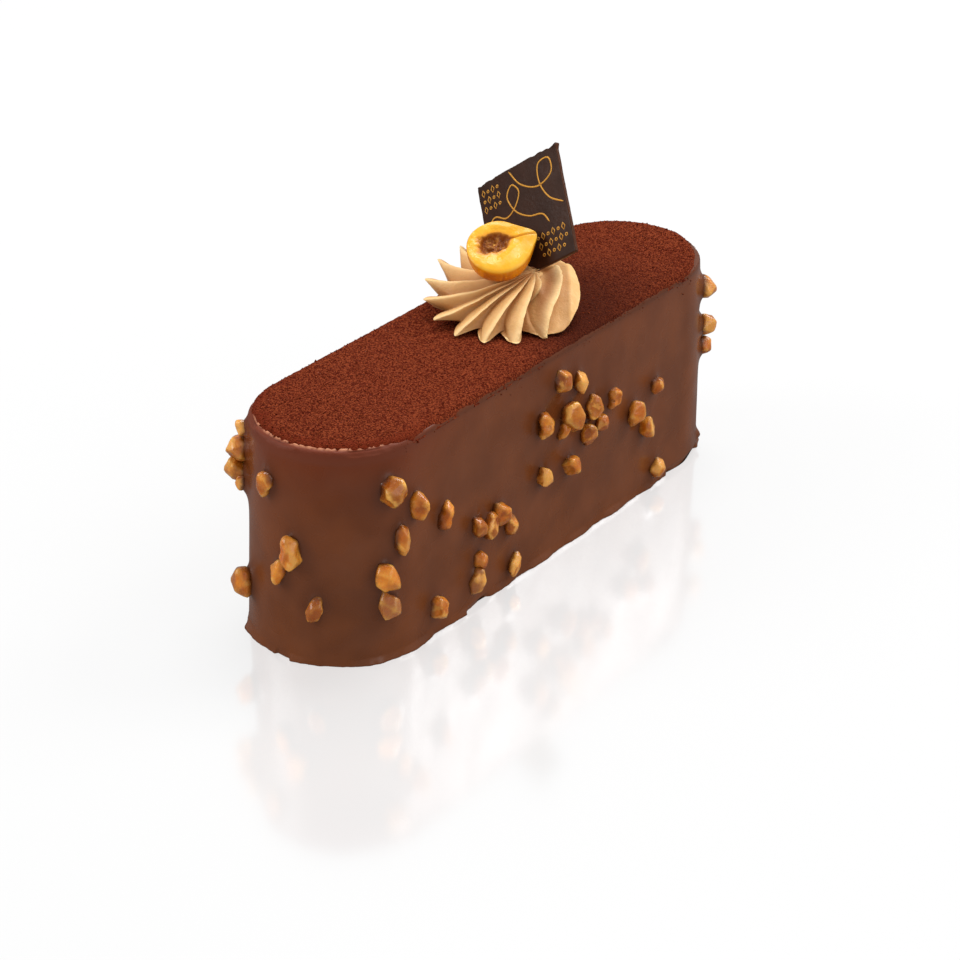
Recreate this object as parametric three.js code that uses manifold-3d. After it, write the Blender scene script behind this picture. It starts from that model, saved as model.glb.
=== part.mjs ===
// Chocolate praline cake: a long glazed cake with round ends, chopped nuts in the glaze, cocoa on the
// top, a piped rosette of praline cream, half a hazelnut and a thin square of dark chocolate.
// Millimetres, +Z up. The origin is the middle of the flat base, and +X runs along the cake.
import * as THREE from "three";
import { ConvexGeometry } from "three/addons/geometries/ConvexGeometry.js";
import { mergeVertices } from "three/addons/utils/BufferGeometryUtils.js";
import Module from "manifold-3d";

const wasm = await Module();
wasm.setup();

// Cake: a stadium in plan, drawn in a little towards the top
const CAKE_LENGTH = 130;
const CAKE_WIDTH = 36;
const GLAZE_HEIGHT = 44.4;
const WALL_DRAFT = 0.8;
const NEAR_END_LEAN = 1.0;
const FAR_END_LEAN = 0.4;
const RIM_DROP = 1.8;
const RIM_INSET = 0.9;
const FOOT_FLARE = 0.45;
const FOOT_HEIGHT = 1.4;
const WALL_WAVE = 0.3;
const END_RADIUS = CAKE_WIDTH / 2;
const HALF_STRAIGHT = CAKE_LENGTH / 2 - END_RADIUS;
const QUARTER_ARC = (Math.PI / 2) * END_RADIUS;
const HALF_WAY_ROUND = 2 * (QUARTER_ARC + HALF_STRAIGHT);
const END_STEPS = 22;
const SIDE_STEPS = 16;

// Cocoa: a thin layer on the flat top, further in at the near end, where the glazed rim shows
const COCOA_THICKNESS = 0.8;
const COCOA_MARGIN = 0.1;
const COCOA_NEAR_MARGIN = 0.7;
const TOP_HEIGHT = GLAZE_HEIGHT + COCOA_THICKNESS;

// Rosette: star-nozzle ridges that turn as they climb to an apex off the middle. Its rim is tipped, low
// at the front and high at the back.
const ROSETTE_X = 6.4;
const ROSETTE_Y = 1.2;
const ROSETTE_RADIUS = 15.4;
const ROSETTE_HEIGHT = 9.2;
const RIM_RISE = 4.6;
const RIM_TIP = 4.4;
const RIM_TIP_ANGLE = THREE.MathUtils.degToRad(36);
const ROSETTE_RIDGES = 16;
const ROSETTE_START = THREE.MathUtils.degToRad(-10);
const ROSETTE_TWIST = 0.9;
const RIDGE_DEPTH = 0.22;
const RIDGE_LEAN = -0.15;
const APEX_SHIFT = new THREE.Vector2(3.4, -5.6);
const RIDGE_STEPS = 6;
const CLIMB_STEPS = 20;

// Half hazelnut: cut face up and turned to the front, tip to the right
const NUT_RADIUS = 6.4;
const NUT_DEPTH = 6.4;
const NUT_TIP = 1.9;
const NUT_TIP_ANGLE = THREE.MathUtils.degToRad(25);
const NUT_TIP_WIDTH = 0.34;
const NUT_POSITION = new THREE.Vector3(5.4, 1.5, 59.7);
const NUT_TILT = THREE.MathUtils.degToRad(30);
const NUT_FACES = THREE.MathUtils.degToRad(-53.8);
const HOLLOW_RADIUS = 2.6;
const HOLLOW_DEPTH = 1.8;
const HOLLOW_SHIFT = 1.2;
const NUT_ROUND_STEPS = 32;
const NUT_DEEP_STEPS = 8;

// Chocolate square: stands in the cream on a corner, faces the near end and leans back
const SQUARE_SIDE = 23.2;
const SQUARE_THICKNESS = 0.9;
const SQUARE_BOW = 0.3;
const SQUARE_POSITION = new THREE.Vector3(16.3, 2.6, 61.7);
const SQUARE_TURN = THREE.MathUtils.degToRad(-104.8);
const SQUARE_LEAN = THREE.MathUtils.degToRad(22.2);
const SQUARE_SPIN = THREE.MathUtils.degToRad(39.9);

const GAP = 0.3;

// Chopped nuts as [station, height, length, width]: the station runs along the wall from the middle of
// the near end, over the front side, to the middle of the far end.
const LEFT_EDGE_NUTS = [
  [-17, 40.5, 3.6, 3.2],
  [-17, 36.5, 4.8, 6],
  [-17.5, 32, 5.4, 6.2],
  [-16, 30, 4.4, 3],
  [-10, 12, 6.2, 4.8],
];
const RIGHT_EDGE_NUTS = [
  [134, 37, 5.2, 4.4],
  [135, 27.5, 5, 5],
  [135, 22.5, 4.4, 4],
];
const SIDE_NUTS = [
  [-3.5, 36, 5.6, 3],
  [3, 23.5, 7.6, 4.6],
  [0, 18.5, 5.6, 2.8],
  [7.5, 12.5, 6, 2.8],
  [21.5, 36, 6.4, 5.4],
  [28, 30.5, 6, 4],
  [37, 24.5, 6.2, 3.2],
  [24, 25, 7, 2.8],
  [20.5, 18.5, 6, 4.4],
  [21, 12.5, 6.2, 4.4],
  [34, 6.5, 4.8, 4],
  [47, 18, 4.8, 3],
  [54.5, 17.5, 5.6, 4],
  [51, 16.5, 5, 3.6],
  [58, 13.5, 5.2, 3],
  [47.5, 10, 3.8, 3],
  [46.5, 6.5, 5.2, 3.4],
  [59, 4.5, 5.2, 2.8],
  [75, 38, 5.2, 3.8],
  [81.5, 35.5, 5, 3],
  [93, 27.5, 4.2, 3.4],
  [86, 28.5, 6, 4],
  [78, 29.5, 7.2, 5.4],
  [69, 31, 6, 4.4],
  [76, 27, 4, 3],
  [84, 23, 5.2, 3.6],
  [89, 23.5, 4, 2.8],
  [101, 21, 5.4, 4],
  [105.5, 16, 5.4, 3.8],
  [109.5, 24, 4, 3],
  [69, 19.5, 4.6, 3.6],
  [78, 18.5, 5.2, 4],
  [110.5, 4, 4.4, 3.4],
];
// The far side repeats the near side's nuts, taken the other way round and upside down
const FAR_SIDE_START = 267;
const FAR_SIDE_HEIGHT = 43;
const NUT_CORNERS = 14;
const NUT_SUNK_SHARE = 0.2;
const NUT_SEED = 41;

// Colours and surfaces
const GLAZE = new THREE.MeshStandardMaterial({ color: 0x6c4530, roughness: 0.38, metalness: 0 });
const COCOA = new THREE.MeshStandardMaterial({ color: 0x73341e, roughness: 0.95, metalness: 0 });
const CREAM = new THREE.MeshStandardMaterial({ color: 0xd9a86c, roughness: 0.6, metalness: 0 });
const HAZELNUT = new THREE.MeshStandardMaterial({ color: 0xe8b040, roughness: 0.45, metalness: 0 });
const DARK_CHOCOLATE = new THREE.MeshStandardMaterial({ color: 0x3c2620, roughness: 0.35, metalness: 0 });

function randomFrom(seed) {
  let state = seed;
  return () => {
    state = (state * 16807) % 2147483647;
    return state / 2147483647;
  };
}

// Joins rings of equal length into a closed surface: the first ring is the bottom, the last the top.
function closedLoft(rings) {
  const count = rings[0].length;
  const middle = (ring) => ring.reduce((sum, p) => sum.add(p), new THREE.Vector3()).divideScalar(count);
  const points = [...rings.flat(), middle(rings[0]), middle(rings.at(-1))];
  const bottom = points.length - 2;
  const top = points.length - 1;
  const last = (rings.length - 1) * count;
  const index = [];
  for (let j = 0; j < count; j++) {
    const k = (j + 1) % count;
    index.push(bottom, k, j, top, last + j, last + k);
    for (let row = 0; row < last; row += count) {
      index.push(row + j, row + k, row + count + k, row + j, row + count + k, row + count + j);
    }
  }
  return new THREE.BufferGeometry().setFromPoints(points).setIndex(index);
}

function toSolid(geometry) {
  const bare = geometry.clone();
  bare.deleteAttribute("normal");
  bare.deleteAttribute("uv");
  const merged = mergeVertices(bare, 1e-4);
  return new wasm.Manifold(
    new wasm.Mesh({
      numProp: 3,
      vertProperties: merged.attributes.position.array,
      triVerts: new Uint32Array(merged.index.array),
    }),
  );
}

function toGeometry(solid) {
  const mesh = solid.getMesh();
  const geometry = new THREE.BufferGeometry();
  geometry.setAttribute("position", new THREE.BufferAttribute(mesh.vertProperties, 3));
  geometry.setIndex(new THREE.BufferAttribute(mesh.triVerts, 1));
  geometry.computeVertexNormals();
  return geometry;
}

// The plan's nominal outline at a station, with the way out of the wall there.
function planAt(station) {
  const wrapped = THREE.MathUtils.euclideanModulo(station + HALF_WAY_ROUND, 2 * HALF_WAY_ROUND);
  const along = wrapped - HALF_WAY_ROUND;
  const side = along < 0 ? 1 : -1;
  const run = Math.abs(along);
  const sideEnd = QUARTER_ARC + 2 * HALF_STRAIGHT;
  let x = run - QUARTER_ARC - HALF_STRAIGHT;
  let turn = Math.PI / 2;
  if (run < QUARTER_ARC) {
    x = -HALF_STRAIGHT;
    turn = run / END_RADIUS;
  } else if (run > sideEnd) {
    x = HALF_STRAIGHT;
    turn = Math.PI / 2 + (run - sideEnd) / END_RADIUS;
  }
  const out = new THREE.Vector3(-Math.cos(turn), side * Math.sin(turn), 0);
  const point = new THREE.Vector3(x, 0, 0).addScaledVector(out, END_RADIUS);
  return { point, out };
}

// How far the wall stands out of the nominal outline: hand-made waves, a foot, a draft and a round rim.
function wallOffset(station, height) {
  const round = (station / HALF_WAY_ROUND) * Math.PI;
  const up = height / GLAZE_HEIGHT;
  const wave = Math.sin(3 * round + 1 + up) + 0.6 * Math.sin(7 * round + 2 - 3 * up);
  const foot = FOOT_FLARE * Math.max(0, 1 - height / FOOT_HEIGHT) * (1 + 0.6 * Math.sin(23 * round));
  const overRim = THREE.MathUtils.clamp((height - GLAZE_HEIGHT + RIM_DROP) / RIM_DROP, 0, 1);
  const rim = RIM_INSET * (1 - Math.sqrt(1 - overRim * overRim));
  const steady = 1 - overRim;
  return foot - WALL_DRAFT * up - rim + WALL_WAVE * wave * up * (1 - up) * 2 * steady;
}

function wallAt(station, height, inset = 0) {
  const { point, out } = planAt(station);
  const up = height / GLAZE_HEIGHT;
  const place = point.addScaledVector(out, wallOffset(station, Math.min(height, GLAZE_HEIGHT)) - inset);
  const near = Math.min(Math.max(-place.x / HALF_STRAIGHT, 0), 1);
  const far = Math.min(Math.max(place.x / HALF_STRAIGHT, 0), 1);
  place.x += up * (NEAR_END_LEAN * near * near - FAR_END_LEAN * far * far);
  place.z = height;
  return { place, out };
}

function stationsRound() {
  const stations = [];
  const arc = QUARTER_ARC * 2;
  const side = HALF_STRAIGHT * 2;
  for (let i = 0; i < END_STEPS; i++) stations.push(-QUARTER_ARC + (arc * i) / END_STEPS);
  for (let i = 0; i < SIDE_STEPS; i++) stations.push(QUARTER_ARC + (side * i) / SIDE_STEPS);
  return [...stations, ...stations.map((s) => s + HALF_WAY_ROUND)];
}

function glazedBlock() {
  const heights = [0, FOOT_HEIGHT, 8, 16, 24, 32, 39];
  for (let i = 0; i <= 5; i++) heights.push(GLAZE_HEIGHT - RIM_DROP * Math.cos((i / 5) * (Math.PI / 2)));
  const stations = stationsRound();
  return closedLoft(heights.map((height) => stations.map((s) => wallAt(s, height).place)));
}

// One chopped nut: the hull of points drawn on an egg-shaped blob, part sunk in the wall.
function choppedNut([station, height, length, width], random) {
  const corners = [];
  for (let i = 0; i < NUT_CORNERS; i++) {
    const rise = 1 - (2 * (i + 0.5)) / NUT_CORNERS;
    const round = 2.4 * i + random();
    const flat = Math.sqrt(1 - rise * rise);
    const reach = 0.82 + 0.3 * random();
    const egg = new THREE.Vector3(flat * Math.cos(round), flat * Math.sin(round), rise);
    corners.push(egg.multiplyScalar(reach / 2).multiply(new THREE.Vector3(width, width, length)));
  }
  const { place, out } = wallAt(station, height);
  const lean = new THREE.Quaternion().setFromAxisAngle(out, random() - 0.5);
  const spin = new THREE.Quaternion().setFromAxisAngle(new THREE.Vector3(0, 0, 1), random() * Math.PI);
  const centre = place.addScaledVector(out, width * (0.5 - NUT_SUNK_SHARE));
  return new ConvexGeometry(corners.map((p) => p.applyQuaternion(spin).applyQuaternion(lean).add(centre)));
}

function nutPlaces() {
  const farSide = SIDE_NUTS.map(([station, height, ...sizes]) => [
    FAR_SIDE_START - station,
    FAR_SIDE_HEIGHT - height,
    ...sizes,
  ]);
  return [...LEFT_EDGE_NUTS, ...RIGHT_EDGE_NUTS, ...SIDE_NUTS, ...farSide];
}

function cakeBody() {
  const random = randomFrom(NUT_SEED);
  let solid = toSolid(glazedBlock());
  for (const nut of nutPlaces()) solid = solid.add(toSolid(choppedNut(nut, random)));
  return toGeometry(solid);
}

function cocoaTop() {
  const near = (x) => THREE.MathUtils.smoothstep(-x, 0.8 * HALF_STRAIGHT, CAKE_LENGTH / 2);
  const margin = (x) => COCOA_MARGIN + COCOA_NEAR_MARGIN * near(x);
  const edge = (height, inset) =>
    stationsRound().map((s) => {
      const { place } = wallAt(s, GLAZE_HEIGHT, margin(planAt(s).point.x) + inset);
      return place.setZ(height);
    });
  const shoulder = COCOA_THICKNESS * 0.5;
  return closedLoft([edge(GLAZE_HEIGHT, 0), edge(GLAZE_HEIGHT + shoulder, 0), edge(TOP_HEIGHT, shoulder)]);
}

// A ridge's crest from the cake up to the apex: share of the radius, then height above the cake.
const CREST_LINE = new THREE.CatmullRomCurve3(
  [
    [0.68, 0],
    [0.87, 1],
    [1, RIM_RISE],
    [0.87, 5.9],
    [0.66, 7],
    [0.4, 8.3],
    [0.15, 9],
    [0.04, ROSETTE_HEIGHT],
  ].map(([share, rise]) => new THREE.Vector3(share, rise, 0)),
);

// The ridge's height at a phase from 0 to 1: 0 in the valleys, 1 on the crest.
function ridgeShape(phase) {
  return 1 - Math.abs(2 * phase - 1) ** 1.3;
}

function rosetteBlank() {
  const pitch = (2 * Math.PI) / ROSETTE_RIDGES;
  const rings = [];
  for (let i = 0; i <= CLIMB_STEPS; i++) {
    const { x: share, y: rise } = CREST_LINE.getPoint(i / CLIMB_STEPS);
    const aboveRim = Math.max(0, rise - RIM_RISE) / (ROSETTE_HEIGHT - RIM_RISE);
    const centre = APEX_SHIFT.clone().multiplyScalar(aboveRim ** 1.3);
    const tip = share * share * THREE.MathUtils.smoothstep(rise, 0, RIM_RISE);
    const depth = RIDGE_DEPTH * Math.min(1, 1.4 * share);
    const ring = [];
    for (let j = 0; j < ROSETTE_RIDGES * RIDGE_STEPS; j++) {
      const ridge = ridgeShape((j % RIDGE_STEPS) / RIDGE_STEPS);
      const turned = ROSETTE_START + (ROSETTE_TWIST * rise) / ROSETTE_HEIGHT;
      const angle = (j / RIDGE_STEPS + RIDGE_LEAN * ridge) * pitch + turned;
      const shrink = 1 - depth * (1 - ridge);
      const radius = ROSETTE_RADIUS * share * shrink;
      const tipped = tip * RIM_TIP * Math.cos(angle - RIM_TIP_ANGLE);
      const lift = rise < RIM_RISE ? rise : RIM_RISE + (rise - RIM_RISE) * shrink;
      const x = ROSETTE_X + centre.x + radius * Math.cos(angle);
      const y = ROSETTE_Y + centre.y + radius * Math.sin(angle);
      ring.push(new THREE.Vector3(x, y, TOP_HEIGHT + Math.max(lift + tipped, 0.1 * rise)));
    }
    rings.push(ring);
  }
  return closedLoft(rings);
}

// The nut's reach in its cut face, with a pointed tip.
function nutReach(angle, swell) {
  const away = Math.atan2(Math.sin(angle - NUT_TIP_ANGLE), Math.cos(angle - NUT_TIP_ANGLE));
  return NUT_RADIUS + swell + NUT_TIP * Math.exp(-(Math.abs(away / NUT_TIP_WIDTH) ** 1.5));
}

function nutRing(share, height, swell) {
  const ring = [];
  for (let j = 0; j < NUT_ROUND_STEPS; j++) {
    const angle = (j / NUT_ROUND_STEPS) * 2 * Math.PI;
    const reach = share * nutReach(angle, swell);
    ring.push(new THREE.Vector3(reach * Math.cos(angle), reach * Math.sin(angle), height));
  }
  return ring;
}

// The half nut in its own frame: the cut face is the plane z = 0, and the kernel hangs below it.
function halfNut(swell) {
  const rings = [];
  for (let i = 0; i <= NUT_DEEP_STEPS; i++) {
    const turn = ((i + 0.35) / (NUT_DEEP_STEPS + 0.35)) * (Math.PI / 2);
    rings.push(nutRing(Math.sin(turn), swell - (NUT_DEPTH + swell * 2) * Math.cos(turn), swell));
  }
  if (swell > 0) return closedLoft(rings);
  for (let i = 0; i <= 4; i++) {
    const share = (HOLLOW_RADIUS / NUT_RADIUS) * (1 - i / 5);
    const ring = nutRing(share, -HOLLOW_DEPTH * Math.sin((i / 5) * (Math.PI / 2)), swell);
    rings.push(ring.map((p) => p.add(new THREE.Vector3(0, HOLLOW_SHIFT, 0))));
  }
  return closedLoft(rings);
}

function placeNut(object) {
  object.rotation.set(NUT_TILT, 0, NUT_FACES, "ZXY");
  object.position.copy(NUT_POSITION);
  object.updateMatrix();
  return object;
}

function chocolateSquare(swell) {
  const size = SQUARE_SIDE + 2 * swell;
  const geometry = new THREE.BoxGeometry(size, SQUARE_THICKNESS + 2 * swell, size, 6, 1, 6);
  const places = geometry.attributes.position;
  for (let i = 0; i < places.count; i++) {
    const across = places.getX(i) / (SQUARE_SIDE / 2);
    places.setY(i, places.getY(i) + SQUARE_BOW * (across * across - 0.5));
  }
  return geometry;
}

function placeSquare(object) {
  object.rotation.set(-SQUARE_LEAN, -SQUARE_SPIN, SQUARE_TURN, "ZXY");
  object.position.copy(SQUARE_POSITION);
  object.updateMatrix();
  return object;
}

// The rosette is pressed open by the nut and by the square, which keep a small gap to it.
function creamRosette() {
  const nutSeat = halfNut(GAP).applyMatrix4(placeNut(new THREE.Object3D()).matrix);
  const squareSlot = chocolateSquare(GAP).applyMatrix4(placeSquare(new THREE.Object3D()).matrix);
  return toGeometry(toSolid(rosetteBlank()).subtract(toSolid(nutSeat)).subtract(toSolid(squareSlot)));
}

function namedMesh(name, geometry, material) {
  const mesh = new THREE.Mesh(geometry, material);
  mesh.name = name;
  return mesh;
}

const cake = new THREE.Group();
cake.add(
  namedMesh("cake_body", cakeBody(), GLAZE),
  namedMesh("cocoa_top", cocoaTop(), COCOA),
  namedMesh("cream_rosette", creamRosette(), CREAM),
  placeNut(namedMesh("hazelnut_half", halfNut(0), HAZELNUT)),
  placeSquare(namedMesh("chocolate_square", chocolateSquare(0), DARK_CHOCOLATE)),
);

export default cake;
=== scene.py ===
import math

import bmesh
import bpy
import numpy as np
from mathutils import Matrix, Quaternion, Vector


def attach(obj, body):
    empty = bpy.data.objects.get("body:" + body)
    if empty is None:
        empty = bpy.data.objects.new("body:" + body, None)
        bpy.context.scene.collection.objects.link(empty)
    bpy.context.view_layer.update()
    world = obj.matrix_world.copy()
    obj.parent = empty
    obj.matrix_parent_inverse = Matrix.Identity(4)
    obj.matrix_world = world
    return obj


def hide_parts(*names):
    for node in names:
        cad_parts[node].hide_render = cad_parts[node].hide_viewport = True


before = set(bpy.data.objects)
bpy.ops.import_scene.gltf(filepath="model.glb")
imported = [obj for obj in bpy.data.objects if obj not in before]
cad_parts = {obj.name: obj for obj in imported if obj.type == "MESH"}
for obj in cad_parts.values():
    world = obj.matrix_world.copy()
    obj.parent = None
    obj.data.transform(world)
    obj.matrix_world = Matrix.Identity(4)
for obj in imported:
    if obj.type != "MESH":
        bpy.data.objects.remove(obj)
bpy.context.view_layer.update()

mm = 0.001  # all sizes below are in millimetres


# Noise that follows a point's place, from -1 to 1
def latticeValue(x, y, z, seed):
    code = (x * 73856093) ^ (y * 19349663) ^ (z * 83492791) ^ (seed * 26544357)
    code &= 0x7FFFFFFF
    code = ((code ^ (code >> 13)) * 1274126177) & 0x7FFFFFFF
    code = ((code ^ (code >> 16)) * 1103515245) & 0x7FFFFFFF
    return (code >> 8) / 0x3FFFFF - 1.0


def softNoise(points, size, seed=0):
    scaled = np.asarray(points, float) / size
    cell = np.floor(scaled).astype(np.int64)
    part = scaled - cell
    part = part * part * (3 - 2 * part)
    total = 0.0
    for corner in range(8):
        step = np.array([corner & 1, corner >> 1 & 1, corner >> 2 & 1])
        weight = np.prod(np.where(step, part, 1 - part), axis=-1)
        x, y, z = np.moveaxis(cell + step, -1, 0)
        total = total + weight * latticeValue(x, y, z, seed)
    return total


def roughNoise(points, size, seed=0, octaves=3):
    return sum(softNoise(points, size / 2**k, seed + 17 * k) / 2**k for k in range(octaves))


def smoothStep(value, low, high):
    share = np.clip((np.asarray(value, float) - low) / (high - low), 0, 1)
    return share * share * (3 - 2 * share)


# A local rise or hollow; the pieces below give it as (size, middle, width)
def hump(value, size, middle, width):
    return size * np.exp(-(((value - middle) / width) ** 2))


def noiseVector(noise, points, size, seed, *octaves):
    return np.stack([noise(points, size, seed + k, *octaves) for k in range(3)], -1)


def fullTurn(count):
    return np.arange(count) / count * 2 * math.pi


def wrapAngle(angle):
    return np.arctan2(np.sin(angle), np.cos(angle))


# Meshes
def newPiece(name, verts, faces, material, **masks):
    mesh = bpy.data.meshes.new(name)
    mesh.from_pydata((np.asarray(verts) * mm).tolist(), [], faces)
    for mask, values in masks.items():
        layer = mesh.attributes.new(mask, "FLOAT", "POINT")
        layer.data.foreach_set("value", np.ascontiguousarray(values, np.float32).ravel())
    mesh.shade_smooth()
    mesh.materials.append(material)
    piece = bpy.data.objects.new(name, mesh)
    bpy.context.scene.collection.objects.link(piece)
    print(name, "has", len(mesh.polygons), "faces")
    return piece


def gridFaces(rows, cols, closeFirst=False, closeLast=False):
    row, col = np.meshgrid(np.arange(rows - 1), np.arange(cols), indexing="ij")
    after = (col + 1) % cols
    quads = np.stack(
        [row * cols + col, row * cols + after, (row + 1) * cols + after, (row + 1) * cols + col], -1
    )
    faces = quads.reshape(-1, 4).tolist()
    if closeFirst:
        faces.append(list(range(cols))[::-1])
    if closeLast:
        faces.append(list(range((rows - 1) * cols, rows * cols)))
    return faces


def asPart(piece, slotName, *nodes):
    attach(piece, "root")
    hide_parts(*nodes)


# Shader groups
def shaderGroup(name, inputs, outputs):
    group = bpy.data.node_groups.new(name, "ShaderNodeTree")
    for label, kind, value in inputs:
        socket = group.interface.new_socket(label, in_out="INPUT", socket_type="NodeSocket" + kind)
        socket.default_value = value
    for label, kind in outputs:
        group.interface.new_socket(label, in_out="OUTPUT", socket_type="NodeSocket" + kind)
    enter = group.nodes.new("NodeGroupInput")
    leave = group.nodes.new("NodeGroupOutput")
    enter.location, leave.location = (-800, 0), (600, 0)
    return group, enter, leave


def patchMask(group, enter):
    place = group.nodes.new("ShaderNodeTexCoord")
    toMm = group.nodes.new("ShaderNodeVectorMath")
    toMm.operation = "SCALE"
    toMm.inputs["Scale"].default_value = 1 / mm
    noise = group.nodes.new("ShaderNodeTexNoise")
    noise.noise_dimensions = "4D"
    spread = group.nodes.new("ShaderNodeMapRange")
    spread.interpolation_type = "SMOOTHSTEP"
    group.links.new(place.outputs["Object"], toMm.inputs[0])
    group.links.new(toMm.outputs[0], noise.inputs["Vector"])
    for label, socket in (("Scale", "Scale"), ("Detail", "Detail"), ("Seed", "W")):
        group.links.new(enter.outputs[label], noise.inputs[socket])
    group.links.new(noise.outputs["Fac"], spread.inputs["Value"])
    for label, socket in (("Low", "From Min"), ("High", "From Max")):
        group.links.new(enter.outputs[label], spread.inputs[socket])
    return spread.outputs["Result"]


patchInputs = [
    ("Scale", "Float", 1.0),  # patches per millimetre
    ("Detail", "Float", 2.0),
    ("Low", "Float", 0.4),
    ("High", "Float", 0.6),
    ("Seed", "Float", 0.0),
]
toneEnds = [("Color A", "Color", (1, 1, 1, 1)), ("Color B", "Color", (0, 0, 0, 1))]
glossEnds = [("Smooth", "Float", 0.3), ("Rough", "Float", 0.5)]


def patchGroup():
    group, enter, leave = shaderGroup("Patches", patchInputs, [("Mask", "Float")])
    group.links.new(patchMask(group, enter), leave.inputs["Mask"])
    return group


def blendGroup(name, ends, output, kind):
    group, enter, leave = shaderGroup(name, ends + patchInputs, [(output, kind)])
    blend = group.nodes.new("ShaderNodeMix")
    blend.data_type = "RGBA" if kind == "Color" else "FLOAT"
    group.links.new(patchMask(group, enter), blend.inputs["Factor"])
    for end, socket in zip(ends, "AB"):
        group.links.new(enter.outputs[end[0]], blend.inputs[socket])
    group.links.new(blend.outputs["Result"], leave.inputs[output])
    return group


patches = patchGroup()
twoTone = blendGroup("Two Tone", toneEnds, "Color", "Color")
gloss = blendGroup("Gloss", glossEnds, "Roughness", "Float")
print("shader groups are built")


# A material with one Principled shader; its colours are laid over each other by the mesh's masks
class Look:
    def __init__(self, name, **values):
        self.material = bpy.data.materials.new(name)
        self.material.use_nodes = True
        self.nodes, self.links = self.material.node_tree.nodes, self.material.node_tree.links
        self.shader = self.nodes["Principled BSDF"]
        for label, value in values.items():
            self.shader.inputs[label.replace("_", " ")].default_value = value

    def use(self, group, output, **values):
        node = self.nodes.new("ShaderNodeGroup")
        node.node_tree = group
        for label, value in values.items():
            node.inputs[label.replace("_", " ")].default_value = value
        return node.outputs[output]

    def attribute(self, name):
        node = self.nodes.new("ShaderNodeAttribute")
        node.attribute_name = name
        return node.outputs["Fac"]

    def mix(self, mask, under, over):
        node = self.nodes.new("ShaderNodeMix")
        node.data_type = "RGBA"
        self.links.new(mask, node.inputs["Factor"])
        for label, value in (("A", under), ("B", over)):
            if isinstance(value, tuple):
                node.inputs[label].default_value = value
            else:
                self.links.new(value, node.inputs[label])
        return node.outputs["Result"]

    def tones(self, colorA, colorB, **values):
        return self.use(twoTone, "Color", Color_A=srgb(*colorA), Color_B=srgb(*colorB), **values)

    def layered(self, color, **layers):
        for mask, over in layers.items():
            color = self.mix(self.attribute(mask), color, srgb(*over))
        return color

    def rough(self, **values):
        return self.use(gloss, "Roughness", **values)

    def grain(self, distance, **values):
        node = self.nodes.new("ShaderNodeBump")
        node.inputs["Distance"].default_value = distance * mm
        self.links.new(self.use(patches, "Mask", **values), node.inputs["Height"])
        return node.outputs["Normal"]

    def feed(self, **sources):
        for label, source in sources.items():
            self.links.new(source, self.shader.inputs[label.replace("_", " ")])
        return self.material


def srgb(red, green, blue):
    def linear(value):
        value /= 255
        return value / 12.92 if value <= 0.04045 else ((value + 0.055) / 1.055) ** 2.4

    return (linear(red), linear(green), linear(blue), 1.0)


# Cake: a stadium in plan, drawn in a little towards the top
cake = dict(
    length=130.0,
    width=36.0,
    height=44.4,
    draft=0.8,
    nearLean=1.0,
    farLean=0.4,
    rimDrop=1.2,
    rimInset=0.6,
    footFlare=0.45,
    footHeight=1.4,
    wave=0.3,
)
endRadius = cake["width"] / 2
halfStraight = cake["length"] / 2 - endRadius
quarterArc = math.pi / 2 * endRadius
halfWayRound = 2 * (quarterArc + halfStraight)


def planAt(station):
    along = (station + halfWayRound) % (2 * halfWayRound) - halfWayRound
    side = np.where(along < 0, 1.0, -1.0)
    run = np.abs(along)
    sideEnd = quarterArc + 2 * halfStraight
    middle = np.clip(run - quarterArc - halfStraight, -halfStraight, halfStraight)
    turn = np.clip(run, 0, quarterArc) / endRadius + np.clip(run - sideEnd, 0, None) / endRadius
    out = np.stack([-np.cos(turn), side * np.sin(turn), np.zeros_like(turn)], -1)
    point = endRadius * out
    point[..., 0] += middle
    return point, out


# How far the wall stands out of the plan's outline
def wallOffset(station, height):
    turn = station / halfWayRound * math.pi
    up = height / cake["height"]
    wave = np.sin(3 * turn + 1 + up) + 0.6 * np.sin(7 * turn + 2 - 3 * up)
    foot = cake["footFlare"] * np.clip(1 - height / cake["footHeight"], 0, None)
    foot = foot * (1 + 0.6 * np.sin(23 * turn))
    overRim = np.clip((height - cake["height"] + cake["rimDrop"]) / cake["rimDrop"], 0, 1)
    rim = cake["rimInset"] * (1 - np.sqrt(1 - overRim**2))
    wave = cake["wave"] * wave * up * (1 - up) * 2 * (1 - overRim)
    return foot - cake["draft"] * up - rim + wave


def wallAt(station, height, inset=0.0):
    station, height = np.broadcast_arrays(np.asarray(station, float), np.asarray(height, float))
    point, out = planAt(station)
    offset = wallOffset(station, np.minimum(height, cake["height"])) - inset
    place = point + out * offset[..., None]
    near = np.clip(-place[..., 0] / halfStraight, 0, 1)
    far = np.clip(place[..., 0] / halfStraight, 0, 1)
    up = height / cake["height"]
    place[..., 0] += up * (cake["nearLean"] * near**2 - cake["farLean"] * far**2)
    place[..., 2] = height
    return place, out


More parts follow.
